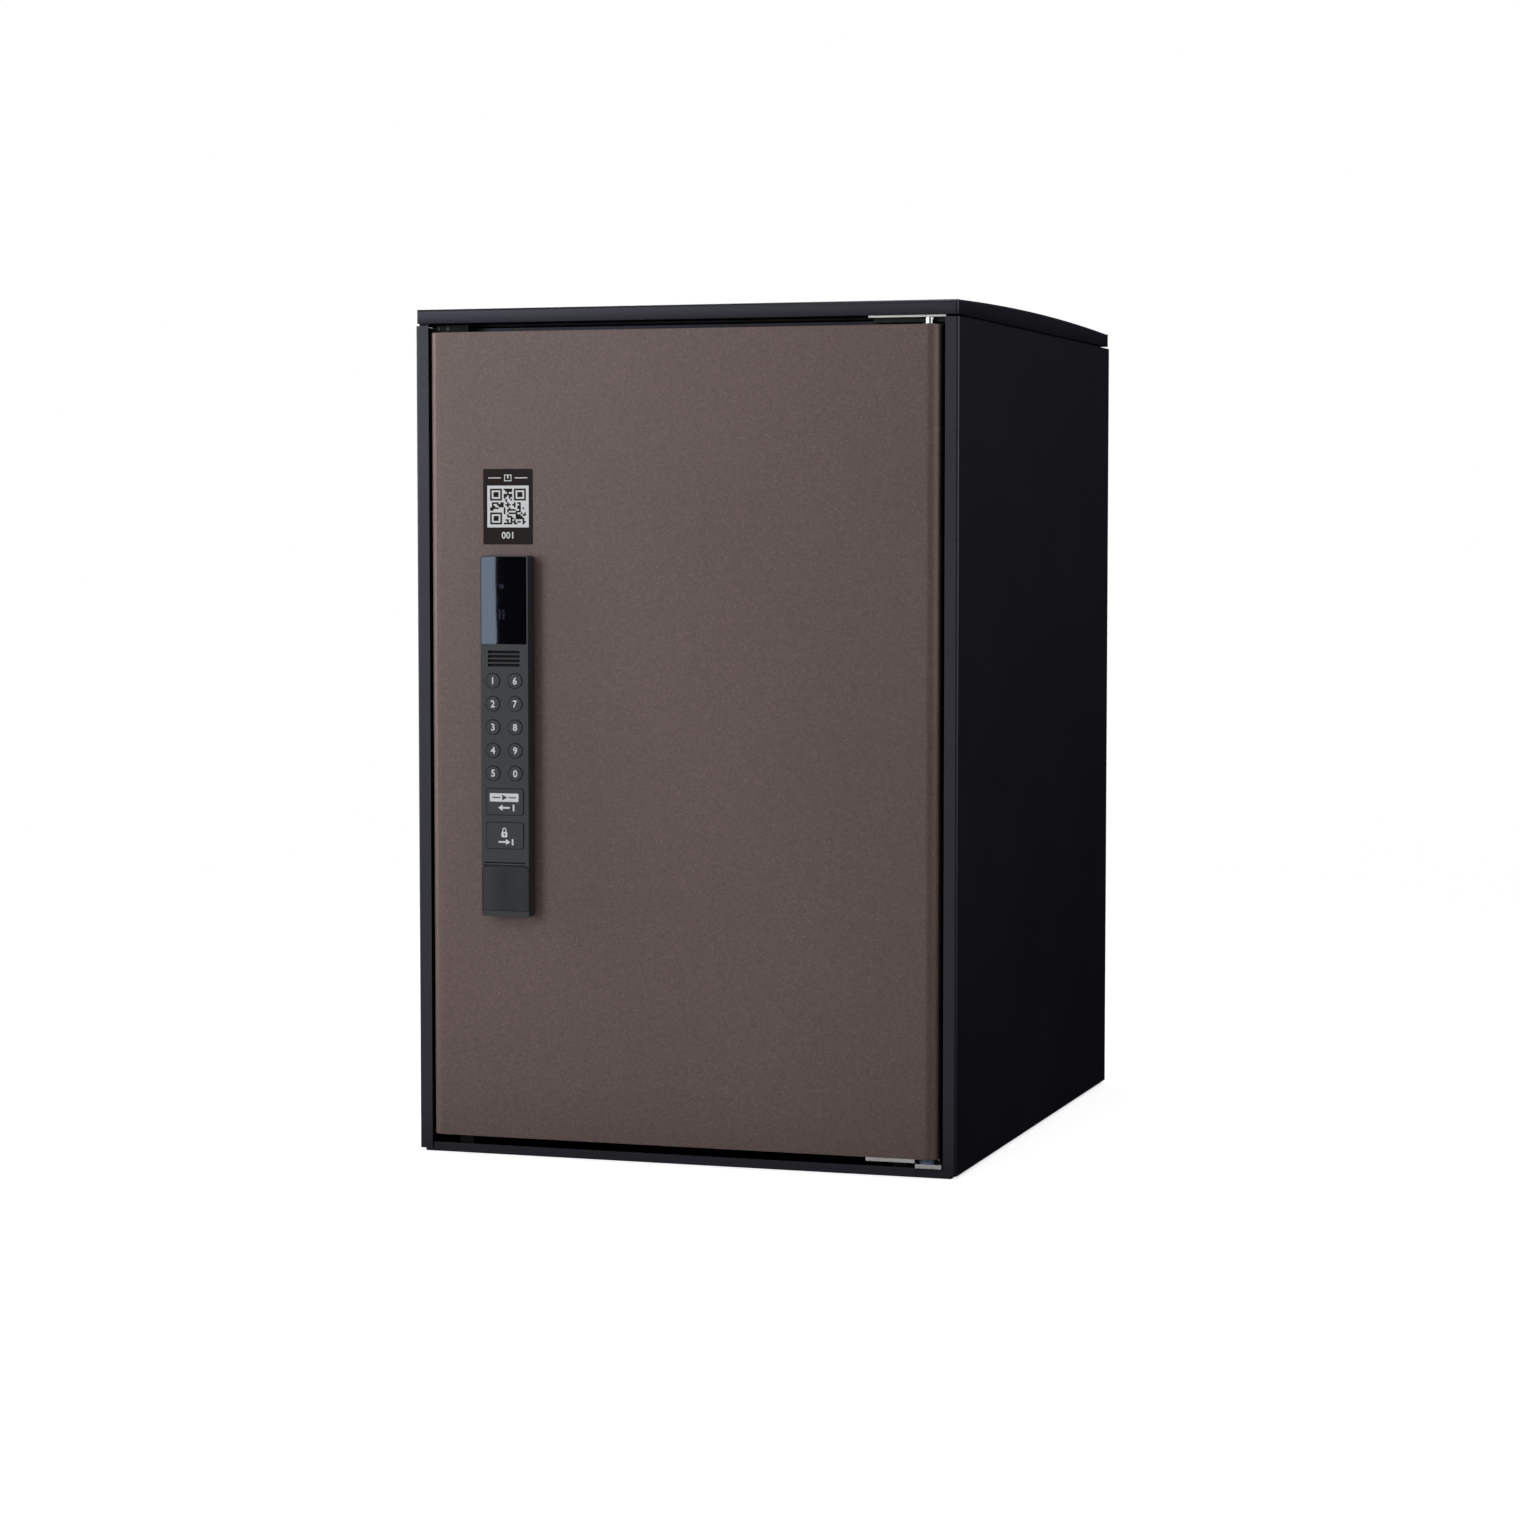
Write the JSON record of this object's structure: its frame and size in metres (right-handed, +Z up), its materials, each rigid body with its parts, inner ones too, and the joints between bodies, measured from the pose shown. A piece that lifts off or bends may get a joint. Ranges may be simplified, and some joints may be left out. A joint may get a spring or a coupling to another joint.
{
  "type": "parcel locker",
  "caption": "Steel parcel locker with a crowned roof and a side-hung door that carries an electronic keypad lock, for secure delivery of a package to a building or home.",
  "frame": {"origin": "centre of the whole object's footprint on the floor, keypad included", "axes": "+Z up, the door faces -Y, and the door is hung on the +X side"},
  "size_m": [0.39, 0.477, 0.592],
  "materials": {
    "cabinet_paint": "satin near-black navy powder coat on steel",
    "door_paint": "metallic brown paint on steel, fine flake and slight orange peel",
    "black_trim": "moulded black plastic",
    "zinc_plate": "bright zinc plated steel",
    "screw_black": "black oxide steel screws",
    "bright_pin": "polished steel pin",
    "nylon_bush": "blue-grey nylon",
    "rubber_black": "black rubber",
    "keypad_plastic": "fine textured dark grey plastic",
    "key_plastic": "smooth dark grey plastic with white legends",
    "window_gloss": "gloss black smoked acrylic",
    "cover_gloss": "gloss dark grey plastic",
    "display_unit": "display module",
    "speaker_metal": "small speaker",
    "membrane_silicone": "grey silicone",
    "circuit_board": "green solder mask",
    "label_film": "printed dark brown film with a white block",
    "motor_steel": "ground steel",
    "battery_wrap": "plain wrapped cells",
    "wire_red": "insulated harness",
    "lock_brass": "machined brass",
    "plug_nickel": "nickel plated"
  },
  "bodies": {
    "cabinet": {"left_side_panel": "cabinet_paint", "right_side_panel": "cabinet_paint", "left_stile": "cabinet_paint", "right_stile": "cabinet_paint", "side_rails": "cabinet_paint", "back_panel": "cabinet_paint", "floor_pan": "cabinet_paint", "ceiling_panel": "cabinet_paint", "roof_lid": "cabinet_paint", "roof_spacer": "black_trim", "upper_hinge_bracket": "zinc_plate", "lower_hinge_bracket": "zinc_plate", "upper_hinge_pin": "bright_pin", "lower_hinge_pin": "bright_pin", "bolt_keeper": "cabinet_paint", "magnet_catch": "black_trim", "stop_bumpers": "rubber_black", "panel_rivets": "zinc_plate", "cabinet_screws": "screw_black"},
    "door": {"door_skin": "door_paint", "door_inner_panel": "door_paint", "upper_door_leaf": "zinc_plate", "lower_door_leaf": "zinc_plate", "hinge_bushes": "nylon_bush", "leaf_screws": "zinc_plate", "door_screws": "zinc_plate", "keypad_housing": "keypad_plastic", "keypad_gasket": "rubber_black", "display_window": "window_gloss", "display_module": "display_unit", "speaker": "speaker_metal", "key_membrane": "membrane_silicone", "keypad_circuit_board": "circuit_board", "keypad_screws": "zinc_plate", "door_label": "label_film", "lock_case": "zinc_plate", "lock_case_cover": "zinc_plate", "lock_motor": "motor_steel", "battery_box": "black_trim", "batteries": "battery_wrap", "battery_contacts": "zinc_plate", "lock_wiring": "wire_red", "cylinder_housing": "lock_brass"},
    "key_1": {"key_1": "key_plastic"},
    "key_2": {"key_2": "key_plastic"},
    "key_3": {"key_3": "key_plastic"},
    "key_4": {"key_4": "key_plastic"},
    "key_5": {"key_5": "key_plastic"},
    "key_6": {"key_6": "key_plastic"},
    "key_7": {"key_7": "key_plastic"},
    "key_8": {"key_8": "key_plastic"},
    "key_9": {"key_9": "key_plastic"},
    "key_0": {"key_0": "key_plastic"},
    "open_key": {"open_key": "key_plastic"},
    "lock_key": {"lock_key": "key_plastic"},
    "bolt": {"lock_bolt": "motor_steel"},
    "pinion": {"drive_pinion": "lock_brass"},
    "cover": {"override_cover": "cover_gloss"},
    "plug": {"cylinder_plug": "plug_nickel"},
    "battery_lid": {"battery_cover": "black_trim"}
  },
  "joints": [
    {"name": "door_hinge", "type": "hinge", "parent": "cabinet", "child": "door", "pos_m": [0.1735, -0.2175, 0.2925], "axis": [0, 0, 1], "range_deg": [0, 105]},
    {"name": "key_1_press", "type": "slide", "parent": "door", "child": "key_1", "axis": [0, 1, 0], "range_m": [0, 0.0012], "stiffness_N_per_m": 600, "springref_m": -0.0008},
    {"name": "key_2_press", "type": "slide", "parent": "door", "child": "key_2", "axis": [0, 1, 0], "range_m": [0, 0.0012], "stiffness_N_per_m": 600, "springref_m": -0.0008},
    {"name": "key_3_press", "type": "slide", "parent": "door", "child": "key_3", "axis": [0, 1, 0], "range_m": [0, 0.0012], "stiffness_N_per_m": 600, "springref_m": -0.0008},
    {"name": "key_4_press", "type": "slide", "parent": "door", "child": "key_4", "axis": [0, 1, 0], "range_m": [0, 0.0012], "stiffness_N_per_m": 600, "springref_m": -0.0008},
    {"name": "key_5_press", "type": "slide", "parent": "door", "child": "key_5", "axis": [0, 1, 0], "range_m": [0, 0.0012], "stiffness_N_per_m": 600, "springref_m": -0.0008},
    {"name": "key_6_press", "type": "slide", "parent": "door", "child": "key_6", "axis": [0, 1, 0], "range_m": [0, 0.0012], "stiffness_N_per_m": 600, "springref_m": -0.0008},
    {"name": "key_7_press", "type": "slide", "parent": "door", "child": "key_7", "axis": [0, 1, 0], "range_m": [0, 0.0012], "stiffness_N_per_m": 600, "springref_m": -0.0008},
    {"name": "key_8_press", "type": "slide", "parent": "door", "child": "key_8", "axis": [0, 1, 0], "range_m": [0, 0.0012], "stiffness_N_per_m": 600, "springref_m": -0.0008},
    {"name": "key_9_press", "type": "slide", "parent": "door", "child": "key_9", "axis": [0, 1, 0], "range_m": [0, 0.0012], "stiffness_N_per_m": 600, "springref_m": -0.0008},
    {"name": "key_0_press", "type": "slide", "parent": "door", "child": "key_0", "axis": [0, 1, 0], "range_m": [0, 0.0012], "stiffness_N_per_m": 600, "springref_m": -0.0008},
    {"name": "open_key_press", "type": "slide", "parent": "door", "child": "open_key", "axis": [0, 1, 0], "range_m": [0, 0.0012], "stiffness_N_per_m": 600, "springref_m": -0.0008},
    {"name": "lock_key_press", "type": "slide", "parent": "door", "child": "lock_key", "axis": [0, 1, 0], "range_m": [0, 0.0012], "stiffness_N_per_m": 600, "springref_m": -0.0008},
    {"name": "bolt_slide", "type": "slide", "parent": "door", "child": "bolt", "axis": [-1, 0, 0], "range_m": [0, 0.009]},
    {"name": "pinion_turn", "type": "hinge", "parent": "door", "child": "pinion", "pos_m": [-0.165, -0.2183, 0.222], "axis": [0, 0, 1], "range_deg": [0, 172]},
    {"name": "cover_hinge", "type": "hinge", "parent": "door", "child": "cover", "pos_m": [-0.1236, -0.23665, 0.2051], "axis": [-1, 0, 0], "range_deg": [0, 100]},
    {"name": "plug_turn", "type": "hinge", "parent": "door", "child": "plug", "pos_m": [-0.1236, -0.2225, 0.189], "axis": [0, 1, 0], "range_deg": [0, 90]},
    {"name": "battery_lid_hinge", "type": "hinge", "parent": "door", "child": "battery_lid", "pos_m": [-0.147, -0.2019, 0.386], "axis": [1, 0, 0], "range_deg": [0, 100]}
  ],
  "couplings": [
    {"joint": "pinion_turn", "follows": "bolt_slide", "rad_per_m": 333.33}
  ]
}
